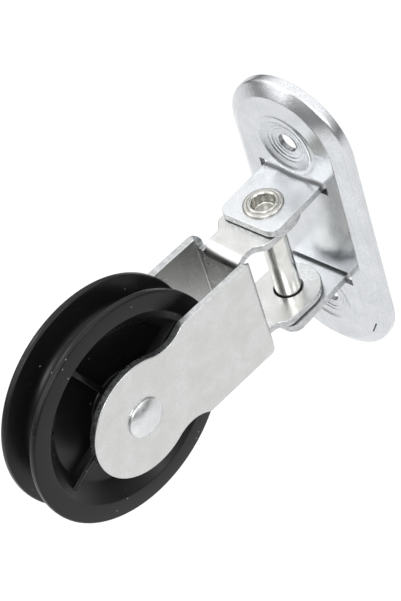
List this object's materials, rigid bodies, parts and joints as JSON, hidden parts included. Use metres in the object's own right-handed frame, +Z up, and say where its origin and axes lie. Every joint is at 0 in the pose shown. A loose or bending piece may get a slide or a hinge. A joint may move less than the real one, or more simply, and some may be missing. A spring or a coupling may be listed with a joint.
{
  "type": "hinged rope pulley",
  "caption": "Rope pulley for a wall: a grooved black wheel in a folded steel fork that swings sideways on a riveted pin in a pressed plate.",
  "frame": {"origin": "middle of the plate's wall side, in the wall plane", "axes": "+Y into the wall, +Z up along the hinge pin, +X to the right seen from the room; the pulley stands out towards -Y"},
  "size_m": [0.036, 0.1033, 0.088],
  "materials": {
    "bright_zinc": "bright zinc plating on pressed steel",
    "rivet_nickel": "smooth plated rivet steel, slightly warm",
    "satin_zinc": "satin zinc plating on folded sheet",
    "axle_zinc": "smooth plated rivet steel",
    "black_nylon": "black moulded nylon with a satin skin"
  },
  "bodies": {
    "wall_mount": {"wall_plate": "bright_zinc", "hinge_bracket": "bright_zinc", "hinge_pin": "rivet_nickel"},
    "swing_fork": {"wheel_fork": "satin_zinc", "axle_rivet": "axle_zinc"},
    "wheel": {"pulley_wheel": "black_nylon"}
  },
  "joints": [
    {"name": "fork_swing", "type": "hinge", "parent": "wall_mount", "child": "swing_fork", "pos_m": [0, -0.0162, 0], "axis": [0, 0, 1], "range_deg": [-86, 94]},
    {"name": "wheel_spin", "type": "hinge", "parent": "swing_fork", "child": "wheel", "pos_m": [-0.00398, -0.07306, 0], "axis": [0.9976, -0.0698, 0], "continuous": true}
  ]
}
